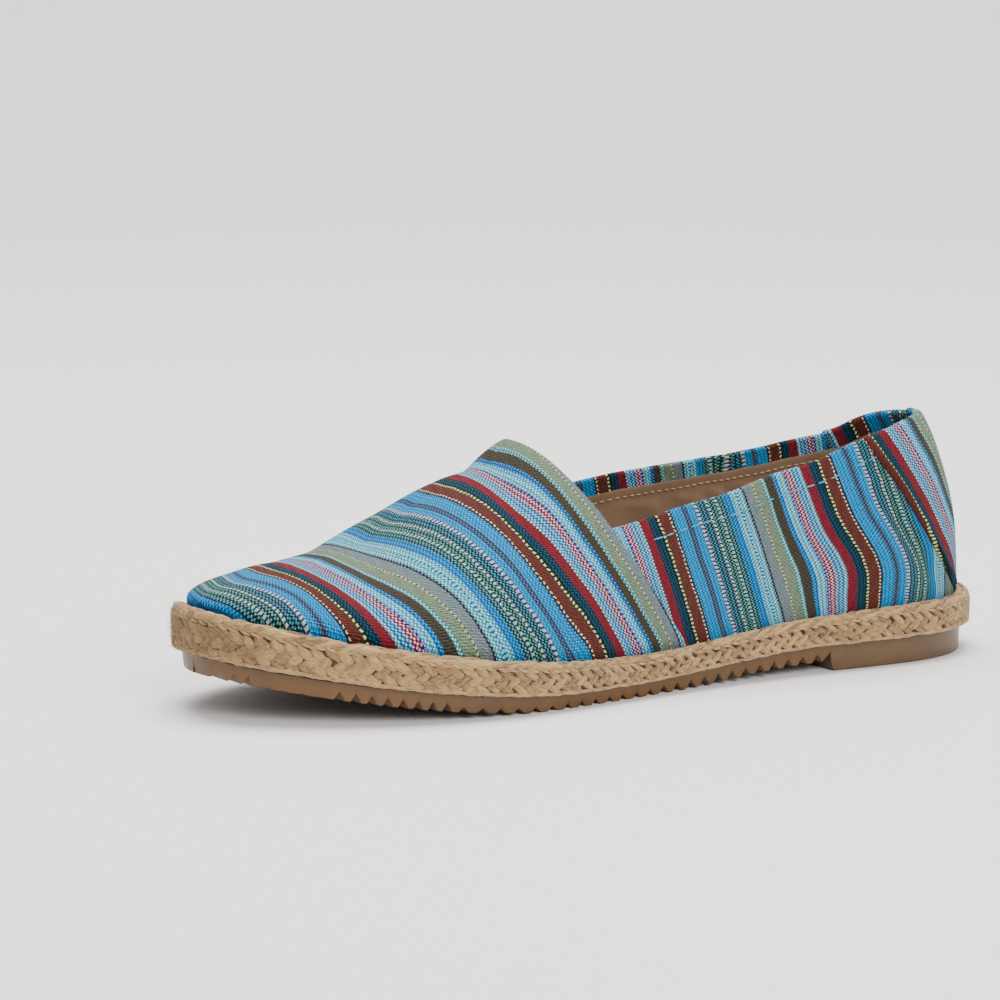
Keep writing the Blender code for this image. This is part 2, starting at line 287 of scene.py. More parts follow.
def topline_turn(side, station):
    """The turn at which the last reaches the collar's edge."""
    low = np.zeros_like(station)
    high = np.ones_like(station)
    for _ in range(24):
        turn = (low + high) / 2
        point = last(side, station, turn)
        edge = smooth(TOPLINE, 1 if side > 0 else 2, share(point[..., 0]))
        under = point[..., 2] < edge * BACK_HEIGHT
        low = np.where(under, turn, low)
        high = np.where(under, high, turn)
    return turn


def sweep(turn, power=SWEEP):
    """How far along a seam has come at a turn: it meets the crown squarely."""
    return 1 - (1 - turn) ** power


def throat_corner(side):
    """Where the vamp's edge crosses the collar, as station and turn."""
    foot, top = VAMP_EDGE
    turn = np.array(0.5)
    for _ in range(20):
        station = foot + (top - foot) * sweep(turn)
        turn = 0.5 * (turn + topline_turn(side, station))
    return float(station), float(turn)


CORNERS = {side: throat_corner(side) for side in (1, -1)}
print("throat corners, station and turn:", CORNERS)


# %% Grids of points: rows climb the wall, columns run round the foot
def collar_grid(side, where, rows):
    """Part of the wall behind the vamp: where runs 0 to 1 from the vamp's edge
    to the heel seam, and on to 2 at the middle of the heel."""
    quarter = np.clip(where, None, 1.0)
    heel = np.clip(where - 1.0, 0.0, 1.0)
    seam_foot, seam_top = HEEL_SEAMS[side]
    foot = VAMP_EDGE[0] + (seam_foot - VAMP_EDGE[0]) * quarter
    foot = foot * (1 - heel)
    corner = CORNERS[side][0]
    top = corner + (seam_top - corner) * quarter
    top = top * (1 - heel)
    full = topline_turn(side, top)
    turn = rows[:, None] * full[None, :]
    like_vamp = sweep(turn) / sweep(full)
    like_heel = (turn / full) ** HEEL_SWEEP
    come = like_vamp + (like_heel - like_vamp) * np.clip(quarter, 0, 1)
    return last(side, foot + (top - foot) * come, turn)


def vamp_grid(across, along):
    """The vamp: across runs from -1 at the inner side's braid over the ridge at
    0 to 1 at the outer side's, and along from the throat to the toe."""
    grids = []
    for side in (1, -1):
        turn = 1 - np.abs(across[:, None]) + 0 * along[None, :]
        foot = VAMP_EDGE[0] + (1 - VAMP_EDGE[0]) * along
        top = VAMP_EDGE[1] + (1 - VAMP_EDGE[1]) * along
        station = foot + (top - foot) * sweep(turn, VAMP_SWEEP)
        grids.append(last(side, station, turn))
    return np.where(across[:, None, None] >= 0, grids[0], grids[1])


def outward(points, sign):
    """Unit normals of a grid. A collapsed end takes its neighbour's."""
    up = np.gradient(points, axis=0)
    on = np.gradient(points, axis=1)
    normal = np.cross(on, up) * sign
    size = np.linalg.norm(normal, axis=-1)
    normal[:, -1] = np.where(size[:, -1:] < 1e-12, normal[:, -3], normal[:, -1])
    return unit(normal)


def run(points, axis):
    """Length along a grid's rows or columns from its first point, in metres."""
    steps = np.linalg.norm(np.diff(points, axis=axis), axis=-1)
    start = np.zeros_like(steps.take([0], axis=axis))
    return np.concatenate([start, np.cumsum(steps, axis=axis)], axis=axis)


def from_top(points):
    """Length down each column of a grid from its last point, in metres."""
    return run(points[::-1], 0)[::-1]


# %% [markdown]
# ## Sheets with a thickness
#
# Real cloth has two faces and a folded edge, so each patch becomes a closed
# sheet: an outer skin, an inner skin, and a half round along the edge where
# the cloth is turned over. Blender's Solidify modifier would give two skins
# too, but with one thickness and a square edge.

# %% Closed sheets from a grid
SHOE = bpy.data.collections.new("espadrille")
bpy.context.scene.collection.children.link(SHOE)
ROLL = 4


def new_piece(name, parts, finish):
    """A mesh object that rides with the shoe. Parts are its vertices, faces and weave."""
    vertices, faces, weave = parts
    mesh = bpy.data.meshes.new(name)
    mesh.from_pydata([tuple(v) for v in vertices], [], [tuple(f) for f in faces])
    if weave is not None:
        layer = mesh.attributes.new("weave", "FLOAT_VECTOR", "POINT")
        layer.data.foreach_set("vector", np.asarray(weave, np.float32).ravel())
    bm = bmesh.new()
    bm.from_mesh(mesh)
    bmesh.ops.remove_doubles(bm, verts=bm.verts, dist=1e-6)
    bmesh.ops.dissolve_degenerate(bm, dist=1e-7, edges=bm.edges)
    bmesh.ops.recalc_face_normals(bm, faces=bm.faces)
    bm.to_mesh(mesh)
    bm.free()
    mesh.polygons.foreach_set("use_smooth", [True] * len(mesh.polygons))
    mesh.materials.append(finish)
    piece = bpy.data.objects.new(name, mesh)
    SHOE.objects.link(piece)
    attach(piece, "root")
    print(f"{name}: {len(mesh.vertices)} points, {len(mesh.polygons)} faces")
    return piece


def sheet_parts(points, normals, outer, inner, weave):
    """Vertices, faces and weave of a closed sheet, folded over at its last row."""
    rows, columns = points.shape[:2]
    outer = np.broadcast_to(outer, (rows, columns))[..., None]
    inner = np.broadcast_to(inner, (rows, columns))[..., None]
    rolled = []
    woven = []
    beyond = unit(points[-1] - points[-2])
    half = (outer[-1] - inner[-1]) / 2
    middle = points[-1] + normals[-1] * (outer[-1] + inner[-1]) / 2
    for k in range(1, ROLL):
        angle = math.pi * k / ROLL
        rolled.append(
            middle + normals[-1] * half * math.cos(angle) + beyond * half * math.sin(angle)
        )
        step = weave[-1].copy()
        step[:, 1] += half[:, 0] / MM * angle
        woven.append(step)
    turned = weave.copy()
    turned[..., 1] = 2 * weave[-1:, :, 1] - weave[..., 1] + math.pi * half[None, :, 0] / MM
    skins = [*(points + normals * outer), *rolled, *(points + normals * inner)[::-1]]
    cloth = [*weave, *woven, *turned[::-1]]
    count = len(skins)
    index = np.arange(count * columns).reshape(count, columns)
    loop = np.vstack([index, index[:1]])
    faces = np.stack([loop[:-1, :-1], loop[:-1, 1:], loop[1:, 1:], loop[1:, :-1]], axis=-1)
    faces = faces.reshape(-1, 4).tolist()
    for end in (index[:, 0], index[:, -1]):
        for i in range(rows - 1):
            j = count - 1 - i
            faces.append([end[i], end[i + 1], end[j - 1], end[j]])
        faces.append(list(end[rows - 1 : rows + ROLL]))
    return np.vstack(skins), faces, np.vstack(cloth)


def join_parts(parts):
    """Several sheets as the vertices, faces and weave of one mesh."""
    start = 0
    vertices, faces, weave = [], [], []
    for points, polygons, cloth in parts:
        vertices.append(points)
        faces += [[start + i for i in polygon] for polygon in polygons]
        weave.append(cloth)
        start += len(points)
    return np.vstack(vertices), faces, np.vstack(weave)


# %% [markdown]
# ## Node helpers
#
# The finishes are all made of nodes: a few short helpers keep their wiring
# readable. Each helper makes one node, sets what it needs and hands back the
# socket that the next one reads.


# %% Small helpers for shader nodes
def new_finish(name, roughness, sheen=0.0, specular=0.5):
    """A material with only its Principled shader, and that shader's tree."""
    finish = bpy.data.materials.new(name)
    finish.use_nodes = True
    tree = finish.node_tree
    shader = tree.nodes["Principled BSDF"]
    shader.inputs["Roughness"].default_value = roughness
    shader.inputs["Sheen Weight"].default_value = sheen
    shader.inputs["Specular IOR Level"].default_value = specular
    return finish, tree, shader


def put(tree, socket, value):
    if isinstance(value, bpy.types.NodeSocket):
        tree.links.new(value, socket)
    else:
        socket.default_value = value


def calc(tree, operation, *values):
    node = tree.nodes.new("ShaderNodeMath")
    node.operation = operation
    for socket, value in zip(node.inputs, values):
        put(tree, socket, value)
    return node.outputs[0]


def noise(tree, vector, scale, detail, rough=0.5):
    node = tree.nodes.new("ShaderNodeTexNoise")
    put(tree, node.inputs["Vector"], vector)
    node.inputs["Scale"].default_value = scale
    node.inputs["Detail"].default_value = detail
    node.inputs["Roughness"].default_value = rough
    return node.outputs["Fac"]


def blend_colors(tree, amount, first, second, kind="MIX"):
    node = tree.nodes.new("ShaderNodeMix")
    node.data_type = "RGBA"
    node.blend_type = kind
    put(tree, node.inputs["Factor"], amount)
    put(tree, node.inputs["A"], first)
    put(tree, node.inputs["B"], second)
    return node.outputs["Result"]


def between(tree, value, low, high, to_low=0.0, to_high=1.0):
    node = tree.nodes.new("ShaderNodeMapRange")
    for socket, number in zip(node.inputs, (value, low, high, to_low, to_high)):
        put(tree, socket, number)
    return node.outputs[0]


def bump(tree, shader, height, strength, distance):
    node = tree.nodes.new("ShaderNodeBump")
    node.inputs["Strength"].default_value = strength
    node.inputs["Distance"].default_value = distance
    tree.links.new(height, node.inputs["Height"])
    tree.links.new(node.outputs[0], shader.inputs["Normal"])


def stepped_ramp(tree, value, places, colors):
    """A colour ramp without blending: each colour holds from its place on."""
    node = tree.nodes.new("ShaderNodeValToRGB")
    ramp = node.color_ramp
    ramp.interpolation = "CONSTANT"
    while len(ramp.elements) < len(colors):
        ramp.elements.new(1.0)
    for element, place, color in zip(ramp.elements, places, colors):
        element.position = place
        element.color = color
    put(tree, node.inputs[0], value)
    return node.outputs[0]


def weave_sockets(tree):
    """The place on the cloth in mm, as a vector and as its three numbers."""
    place = tree.nodes.new("ShaderNodeAttribute")
    place.attribute_name = "weave"
    split = tree.nodes.new("ShaderNodeSeparateXYZ")
    tree.links.new(place.outputs["Vector"], split.inputs[0])
    return place.outputs["Vector"], *split.outputs


def once_every(tree, value, pitch):
    """A sine wave with one crest in every pitch."""
    return calc(tree, "SINE", calc(tree, "MULTIPLY", value, math.tau / pitch))


def paint(red, green, blue):
    """A colour given as it looks on a screen, 0 to 255, as linear light."""
    levels = []
    for value in (red, green, blue):
        value /= 255
        levels.append(value / 12.92 if value <= 0.04045 else ((value + 0.055) / 1.055) ** 2.4)
    return (*levels, 1.0)


DYE = 0.27
EYE = np.array([0.25, 0.60, 0.15])


def dye(red, green, blue, strength=1.02):
    """Like paint, but deeper: the view greys a bright colour, so it is dyed stronger."""
    linear = np.array(paint(red, green, blue)[:3])
    grey = linear @ EYE
    deep = (grey + (linear - grey) * (strength + grey)) * (1 + 1.1 * grey) * DYE
    return (*(float(level) for level in np.clip(deep, 0.001, 1.0)), 1.0)


# %% [markdown]
# ## The striped cloth
#
# The cloth is a hand-loom weave: one run of 32 warp stripes, repeated
# every 58.7 mm. Some stripes carry a dashed yarn, some a small check and some
# a twill. The chart below is that run as a weaver would note it: width, ground
# colour, figure colour and how the figure is woven. The widths are counted
# shares and are stretched together to fill the repeat. A step ramp turns the
# chart into colour, so the stripes stay sharp at any distance, which a painted
# texture wouldn't.

# %% The stripe chart
REPEAT = 58.7
DASH = (1.0, 0.0, 0.0, 1.0)
CHECK = (0.0, 1.0, 0.0, 1.0)
TWILL = (0.0, 0.0, 1.0, 1.0)
STRIPES = (
    # width in mm, ground, figure, weave
    (2.7, (176, 54, 68), (118, 34, 50), TWILL),
    (2.4, (10, 32, 56), (36, 116, 146), CHECK),
    (0.6, (14, 50, 40), (10, 34, 36), TWILL),
    (0.6, (14, 56, 44), (224, 236, 196), DASH),
    (3.2, (144, 74, 60), (84, 48, 46), TWILL),
    (0.6, (84, 44, 42), (246, 234, 210), DASH),
    (0.5, (64, 40, 56), (30, 70, 110), CHECK),
    (3.7, (24, 134, 200), (112, 200, 240), CHECK),
    (1.7, (52, 66, 98), (124, 148, 176), CHECK),
    (2.4, (24, 134, 200), (112, 200, 240), CHECK),
    (1.1, (88, 82, 112), (214, 216, 226), DASH),
    (3.0, (12, 46, 66), (122, 182, 200), CHECK),
    (0.7, (84, 80, 96), (226, 224, 214), DASH),
    (2.2, (8, 48, 54), (138, 194, 188), CHECK),
    (0.7, (50, 80, 92), (194, 214, 206), DASH),
    (2.2, (8, 48, 58), (138, 192, 196), CHECK),
    (2.4, (18, 108, 188), (104, 192, 236), CHECK),
    (1.8, (76, 166, 194), (222, 244, 240), CHECK),
    (0.6, (18, 104, 176), (160, 220, 230), DASH),
    (1.9, (76, 166, 194), (222, 244, 240), CHECK),
    (0.7, (16, 16, 32), (84, 80, 100), DASH),
    (2.9, (114, 134, 140), (158, 168, 168), TWILL),
    (0.6, (92, 106, 88), (220, 220, 178), DASH),
    (2.8, (110, 134, 124), (164, 176, 150), TWILL),
    (1.0, (66, 150, 166), (214, 240, 230), CHECK),
    (2.6, (56, 54, 48), (106, 96, 76), TWILL),
    (1.4, (22, 98, 184), (118, 194, 236), CHECK),
    (2.2, (84, 170, 204), (224, 244, 244), CHECK),
    (0.8, (36, 40, 108), (146, 146, 202), DASH),
    (1.9, (146, 34, 66), (240, 226, 234), CHECK),
    (2.3, (28, 120, 186), (196, 230, 240), CHECK),
    (1.0, (84, 170, 196), (230, 244, 240), CHECK),
)
chart_width = sum(stripe[0] for stripe in STRIPES)
print(f"stripe chart: {len(STRIPES)} stripes, {chart_width:.1f} mm")

# %% Cloth material
DASH_PITCH = 1.45
CHECK_PITCH = 1.2
TWILL_PITCH = 0.8
YARN_PITCH = 0.9
WAVER = 0.55
STEP = 0.13


def striped_cloth():
    """The stripe chart as a material, read by the place on the cloth."""
    finish, tree, shader = new_finish("striped_cloth", 0.94, 0.03, 0.14)
    place, across, along, _ = weave_sockets(tree)
    waver = calc(tree, "SUBTRACT", noise(tree, place, 0.16, 3.0), 0.5)
    waver = calc(tree, "MULTIPLY", waver, WAVER)
    step = calc(tree, "MULTIPLY", once_every(tree, along, CHECK_PITCH), STEP)
    warp = calc(tree, "ADD", calc(tree, "ADD", across, waver), step)
    in_repeat = calc(tree, "FRACT", calc(tree, "DIVIDE", warp, REPEAT))
    starts = np.append(0.0, np.cumsum([stripe[0] for stripe in STRIPES])) / chart_width
    columns = (
        [dye(*stripe[1]) for stripe in STRIPES],
        [dye(*stripe[2]) for stripe in STRIPES],
        [stripe[3] for stripe in STRIPES],
    )
    ramps = [stepped_ramp(tree, in_repeat, starts, column) for column in columns]
    ground, figure, kind = ramps
    kinds = tree.nodes.new("ShaderNodeSeparateColor")
    tree.links.new(kind, kinds.inputs[0])
    dash = between(tree, once_every(tree, along, DASH_PITCH), -0.35, 0.05)
    check_warp = once_every(tree, warp, 1.05 * CHECK_PITCH)
    check = calc(tree, "MULTIPLY", check_warp, once_every(tree, along, CHECK_PITCH))
    check = between(tree, check, 0.02, 0.50)
    slant = calc(tree, "MULTIPLY_ADD", warp, 0.6, along)
    twill = between(tree, once_every(tree, slant, TWILL_PITCH), -0.7, 0.7)
    mask = calc(tree, "MULTIPLY", kinds.outputs[0], dash)
    mask = calc(tree, "MULTIPLY_ADD", kinds.outputs[1], check, mask)
    mask = calc(tree, "MULTIPLY_ADD", kinds.outputs[2], twill, mask)
    color = blend_colors(tree, mask, ground, figure)
    # painted shade: the yarn term darkens the colour between the yarns of the weave, where the
    # crests shade the troughs; fade is a random tone of the cloth
    weft = once_every(tree, along, YARN_PITCH)
    yarn = calc(tree, "MULTIPLY", weft, once_every(tree, warp, YARN_PITCH))
    fade = between(tree, noise(tree, place, 0.9, 4.0), 0.3, 0.7, 1.00, 1.34)
    shade = calc(tree, "MULTIPLY_ADD", yarn, 0.28, fade)
    grey = tree.nodes.new("ShaderNodeCombineColor")
    for socket in grey.inputs:
        tree.links.new(shade, socket)
    color = blend_colors(tree, 1.0, color, grey.outputs[0], "MULTIPLY")
    tree.links.new(color, shader.inputs["Base Color"])
    height = calc(tree, "MULTIPLY_ADD", mask, 0.5, yarn)
    bump(tree, shader, height, 0.75, 0.00022)
    return finish


CLOTH = striped_cloth()

# %% [markdown]
# ## Lining and thread
#
# The lining is a plain taupe cotton, brushed on its face. It wrinkles more
# than the outer cloth because nothing stretches it.


# %% Lining and thread materials
def plain_cloth(name, color, dark, pitch, roughness):
    """A cloth or thread of one colour, with yarns a pitch in mm apart."""
    finish, tree, shader = new_finish(name, roughness, 0.15, 0.25)
    place, across, along, _ = weave_sockets(tree)
    weft = once_every(tree, across, pitch)
    yarn = calc(tree, "MULTIPLY", weft, once_every(tree, along, pitch))
    cloud = between(tree, noise(tree, place, 0.12, 2.0), 0.2, 0.8, 0.25, 0.75)
    amount = calc(tree, "MULTIPLY_ADD", yarn, 0.16, cloud)
    color = blend_colors(tree, amount, dye(*dark, 0.95), dye(*color, 0.95))
    tree.links.new(color, shader.inputs["Base Color"])
    bump(tree, shader, yarn, 0.35, 0.0001)
    return finish


LINING = plain_cloth("taupe_lining", (188, 156, 130), (158, 128, 106), 0.5, 0.9)
HEM_THREAD = plain_cloth("hem_thread", (150, 208, 222), (110, 176, 196), 0.3, 0.7)
TAN_THREAD = plain_cloth("tan_thread", (236, 214, 182), (206, 182, 148), 0.3, 0.7)

# %% [markdown]
# ## Creases
#
# Cloth shows its age in a few soft folds, and those are listed one by one. Each
# fold is a short line on one side of the shoe, given as shares of the length
# and of the back's height, with how deep it is and how wide. All layers of
# the wall take the same relief, so none cuts through its neighbour.

# %% Relief of the listed folds
CREASES = (
    # side, from along, from up, to along, to up, depth in mm, width in mm
    (1, 0.172, 0.700, 0.085, 0.330, 1.9, 3.4),
    (1, 0.205, 0.640, 0.130, 0.300, -0.7, 6.0),
    (1, 0.330, 0.720, 0.300, 0.420, 0.5, 7.0),
    (1, 0.440, 0.640, 0.400, 0.350, 0.5, 6.0),
    (1, 0.610, 0.720, 0.560, 0.420, 0.6, 8.0),
    (1, 0.720, 0.560, 0.650, 0.400, 0.5, 7.0),
    (-1, 0.172, 0.680, 0.085, 0.330, 1.1, 3.2),
    (-1, 0.300, 0.700, 0.270, 0.400, 0.8, 6.0),
    (-1, 0.420, 0.680, 0.380, 0.380, 0.9, 6.0),
    (-1, 0.520, 0.640, 0.480, 0.400, 0.6, 6.0),
    (-1, 0.700, 0.560, 0.640, 0.400, 0.5, 7.0),
)


def relief(side, points):
    """How far the wall moves out at each point, in metres."""
    x, z = points[..., 0], points[..., 2]
    moved = np.zeros(x.shape)
    for where, a0, h0, a1, h1, depth, width in CREASES:
        if where != side:
            continue
        start = np.array([(a0 - 0.5) * LENGTH, h0 * BACK_HEIGHT])
        line = np.array([(a1 - 0.5) * LENGTH, h1 * BACK_HEIGHT]) - start
        spot = np.stack([x, z], axis=-1) - start
        t = np.clip(spot @ line / (line @ line), 0, 1)
        far = np.linalg.norm(spot - t[..., None] * line, axis=-1)
        fade = np.sin(math.pi * np.clip(0.12 + 0.76 * t, 0, 1))
        moved -= depth * MM * fade * np.exp(-((far / (width * MM)) ** 2))
    ripple = np.sin(x * 190 + z * 60 + 1.0) * np.sin(z * 150 - x * 40)
    ripple += 0.6 * np.sin(x * 410 + z * 130 + 2.0 * side)
    return moved + 0.16 * MM * ripple


def free_of_band(points, rise):
    """0 behind the braid, growing to 1 at a rise above it, in metres."""
    return ease((points[..., 2] - band_top(points[..., 0])) / rise)


def shaped(side, points):
    """Points moved by the relief, with the moved surface's own normals."""
    free = free_of_band(points, 6 * MM)
    moved = points + outward(points, side) * (relief(side, points) * free)[..., None]
    return moved, outward(moved, side)


# %% [markdown]
# ## Vamp
#
# The vamp is one piece of cloth over the toes. Its rear edge is folded under
# and laid over the quarters, so it stands a cloth's thickness proud. On the
# flat cloth its stripes are straight; over the toe they droop towards the
# heel, and the droop grows with the distance from the ridge.

# %% Vamp
ACROSS = np.linspace(-1, 1, 181)
ALONG = 1 - (1 - np.linspace(0, 1, 131)) ** 1.3
VAMP_CHART_START = 40.1
DROOP = 30.3
TAIL = 8 * MM


def under_band(line):
    """Two rows that run down behind the braid from a line of points."""
    depth = np.minimum(band_top(line[:, 0]) - sole_top(line[:, 0]) - CLEARANCE, TAIL)
    return [line - np.array([0, 0, 1]) * depth[:, None] * k for k in (1.0, 0.5)]


def chart_on_vamp(points):
    """Place in the stripe chart and along the stripe, in mm, on the vamp."""
    station = np.linspace(0.5, 1, 400)
    ridge = last(1, station, np.ones_like(station))
    ridge_y, ridge_z = (np.interp(points[..., 0], ridge[:, 0], ridge[:, k]) for k in (1, 2))
    down = np.hypot(points[..., 1] - ridge_y, points[..., 2] - ridge_z) / MM
    x = points[..., 0] / MM
    chart = x + DROOP * (down / 76) ** 1.75 - VAMP_CHART_START
    # over the toes the stripes bulge forward, and at the tip they close up
    front = ease((x - 60) / 30) * (1 - ease((x - 92) / 22))
    chart = chart - 2.6 * front * np.sin(math.pi * np.clip(down / 48, 0, 1))
    chart = chart + 4.2 * ease((x - 84) / 36) * ease(down / 24)
    signed = np.where(points[..., 1] > ridge_y, down, -down)
    return np.stack([chart, signed, 0 * chart], axis=-1)


def vamp_surface():
    """The vamp's grid with its relief, calm along the ridge and at the toe."""
    points = vamp_grid(ACROSS, ALONG)
    bend = np.where(ACROSS[:, None] >= 0, relief(1, points), relief(-1, points))
    calm = ease((1 - np.abs(ACROSS)) / 0.25)[:, None] * ease((1 - ALONG) / 0.15)[None, :]
    calm = calm * (0.25 + 0.75 * ease(np.abs(ACROSS) / 0.3))[:, None]
    return points + outward(points, 1) * (bend * calm)[..., None]


def from_toe(grid):
    """The vamp's grid turned, so that its last row is the edge at the throat."""
    return np.swapaxes(grid, 0, 1)[::-1]


def edged(grid):
    """A grid of the vamp with its end rows repeated behind the braid, and turned."""
    return from_toe(np.concatenate([grid[[0, 0]], grid, grid[[-1, -1]]]))


vamp_top = vamp_surface()
vamp_flat = np.array(
    [*under_band(vamp_top[0]), *vamp_top, *under_band(vamp_top[-1])[::-1]]
)
vamp_points = from_toe(vamp_flat)
vamp_out = edged(outward(vamp_top, 1))
vamp_lift = edged(LAP * free_of_band(vamp_top, 3 * LAP))
vamp_chart = from_toe(chart_on_vamp(vamp_flat))
vamp_sheet = sheet_parts(
    vamp_points, vamp_out, vamp_lift, vamp_lift - CLOTH_THICK, vamp_chart
)
vamp = new_piece("vamp", vamp_sheet, CLOTH)
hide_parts("upper")

# %% [markdown]
# ## Quarters and heel piece
#
# Each quarter runs from under the vamp to the heel seam, and the heel piece
# wraps the back. Their top edge is turned in to make a hem 6 mm deep, so the
# inside of the collar shows the same stripes. The two quarters were cut with
# the cloth turned end for end: on the outer side the chart runs towards the
# heel, on the inner side towards the toe.

# %% Quarters
HEM = 6.0
ROWS = np.concatenate([np.linspace(0, 0.80, 44), np.linspace(0.81, 1.0, 26)])
UNDER_VAMP = -0.055
PAST_SEAM = 1.06
QUARTER_COLUMNS = np.concatenate([[UNDER_VAMP], np.linspace(0, PAST_SEAM, 150)])


def hem_inner(points):
    """Inner face of cloth with a turned hem: the full wall near the top edge."""
    thick = 1 - ease((from_top(points) / MM - HEM) / 0.5)
    return -CLOTH_THICK - (WALL - CLOTH_THICK) * thick


def chart_on_quarter(points, side):
    """Place in the chart, counted round the foot from the vamp's edge."""
    round_foot = run(points, 1) / MM
    round_foot = round_foot - round_foot[:, 1:2]
    up = run(points, 0) / MM
    high = up / up[-1:, :]
    if side > 0:
        chart = 2.0 - 10.2 * high + (0.94 + 0.03 * high) * round_foot
        pinch = np.exp(-(((high - 0.34) / 0.24) ** 2)) * ease((round_foot - 38) / 34)
        chart = chart - 4.0 * pinch
    else:
        chart = 26.5 + 10.0 * high - round_foot + 6.0 * ease((round_foot - 66) / 14)
    return np.stack([chart, up, 0 * chart], axis=-1)


def tailed(grid):
    """A grid with its first row repeated for the two rows behind the braid."""
    return np.concatenate([grid[[0, 0]], grid])


def wall_sheet(points, normals, lift, chart):
    """Sheet parts of a piece of the wall, with two more rows behind the braid."""
    points = np.concatenate([under_band(points[0]), points])
    return sheet_parts(
        points, tailed(normals), tailed(lift), hem_inner(points), tailed(chart)
    )


for side, name in ((1, "outer_quarter"), (-1, "inner_quarter")):
    wall, wall_out = shaped(side, collar_grid(side, QUARTER_COLUMNS, ROWS))
    no_lift = np.zeros(wall.shape[:2])
    quarter = wall_sheet(wall, wall_out, no_lift, chart_on_quarter(wall, side))
    new_piece(name, quarter, CLOTH)

# %% Heel piece
HEEL_LIFT = 0.6 * LAP
SEAM_RIDGE = 0.0013
SEAM_RIDGE_AT = 0.0014
SEAM_RIDGE_WIDTH = 0.0011


def collar_strip(where, rows):
    """Both sides of the wall as one grid, from the outer side round the heel."""
    sides = [shaped(side, collar_grid(side, where, rows))[0] for side in (1, -1)]
    return np.concatenate([sides[0], sides[1][:, -2::-1]], axis=1)


def chart_on_heel(points):
    """Place in the chart, counted round the heel from the outer seam."""
    round_heel = run(points, 1) / MM
    up = run(points, 0) / MM
    high = up / up[-1:, :]
    chart = 6.6 + 1.8 * high**2 - 0.95 * round_heel
    chart = chart + 6.3 * ease((round_heel - 22) / 25)
    by_seam = np.exp(-((round_heel / 3.2) ** 2))
    chart = chart + (5.8 * high - 1.8 * high**2 - 1.8) * by_seam
    return np.stack([chart, up, 0 * chart], axis=-1)


heel = collar_strip(np.linspace(1.0, 2.0, 80), ROWS)
heel_edge = np.minimum(run(heel, 1), run(heel[:, ::-1], 1)[:, ::-1])
seam_ridge = np.exp(-(((heel_edge - SEAM_RIDGE_AT) / SEAM_RIDGE_WIDTH) ** 2))
seam_free = free_of_band(heel, 5 * MM) * (0.35 + 0.65 * ease(from_top(heel) / (7 * MM)))
heel_lift = HEEL_LIFT * free_of_band(heel, 3 * LAP) * (0.4 + 0.6 * ease(heel_edge / MM))
heel_lift += SEAM_RIDGE * seam_ridge * seam_free
heel_sheet = wall_sheet(heel, outward(heel, 1), heel_lift, chart_on_heel(heel))
new_piece("heel_piece", heel_sheet, CLOTH)

# %% Lining
LINING_TOP = 5.6
LINING_LOW = -0.00105
LINING_EDGE = 0.0003
LINING_SLACK = 0.0005
VAMP_LINING_LOW = -0.0010


def at_depth(points, below, depth):
    """The line across a grid at a depth below its top edge, in the unit of below."""
    depth = np.broadcast_to(depth, points.shape[1])
    line = [
        [np.interp(-depth[c], -below[:, c], points[:, c, k]) for c in range(len(depth))]
        for k in range(3)
    ]
    return np.stack(line, axis=-1)


def plain_weave(points):
    """Place on a plain cloth, in mm along the rows and columns of a grid."""
    return np.stack([run(points, 1) / MM, run(points, 0) / MM, 0 * points[..., 0]], axis=-1)


def lining_parts():
    """The collar's lining, in one strip from the vamp round the heel and back."""
    wall = collar_strip(np.linspace(-0.05, 2.0, 150), ROWS)
    below = from_top(wall) / MM
    depths = below[0] + (LINING_TOP - below[0]) * np.linspace(0, 1, 60)[:, None]
    points = np.array([at_depth(wall, below, depth) for depth in depths])
    normals = tailed(outward(points, 1))
    points = np.concatenate([under_band(points[0]), points])
    below = from_top(points)
    proud = LINING_EDGE * (1 - ease((below - 0.0015) / 0.002))
    round_foot = run(points, 1) / MM
    slack = ease((below - 0.003) / 0.004) * ease((points[..., 2] - 0.020) / 0.008)
    wave = np.sin(0.42 * round_foot + 1.6 * np.sin(0.11 * round_foot) + 260 * below)
    shiver = 1.05 * round_foot - 420 * below + 1.3 * np.sin(0.23 * round_foot)
    proud = proud + LINING_SLACK * slack * (1.1 + wave + 0.5 * np.sin(shiver))
    return sheet_parts(points, normals, LINING_LOW, -WALL - proud, plain_weave(points))


new_piece("collar_lining", lining_parts(), LINING)

# %% Lining of the vamp, cut short of the toe and the throat
vamp_in = vamp_points[::2, ::2][3:-2]
vamp_in_out = vamp_out[::2, ::2][3:-2]
vamp_lining = sheet_parts(
    vamp_in, vamp_in_out, VAMP_LINING_LOW, -WALL, plain_weave(vamp_in)
)
new_piece("vamp_lining", vamp_lining, LINING)

# %% [markdown]
# ## Stitches
#
# The hem is held by a thin light-blue running stitch that half sinks into the
# cloth, and the lining's edge by a tan one. Each stitch is a short closed
# strand, so it casts its own small shadow, as a line drawn in the material
# would not.


# %% Strands: short closed tubes with their own width and thickness
def loft(rings, closed=False):
    """Vertices and faces of a skin through rings, with flat ends or closed on itself."""
    count, around = rings.shape[:2]
    index = np.arange(count * around).reshape(count, around)
    if closed:
        index = np.vstack([index, index[:1]])
    turned = np.roll(index, -1, axis=1)
    faces = np.stack([index[:-1], turned[:-1], turned[1:], index[1:]], axis=-1)
    faces = faces.reshape(-1, 4).tolist()
    if not closed:
        faces += [index[0].tolist(), index[-1].tolist()]
    return rings.reshape(-1, 3), faces


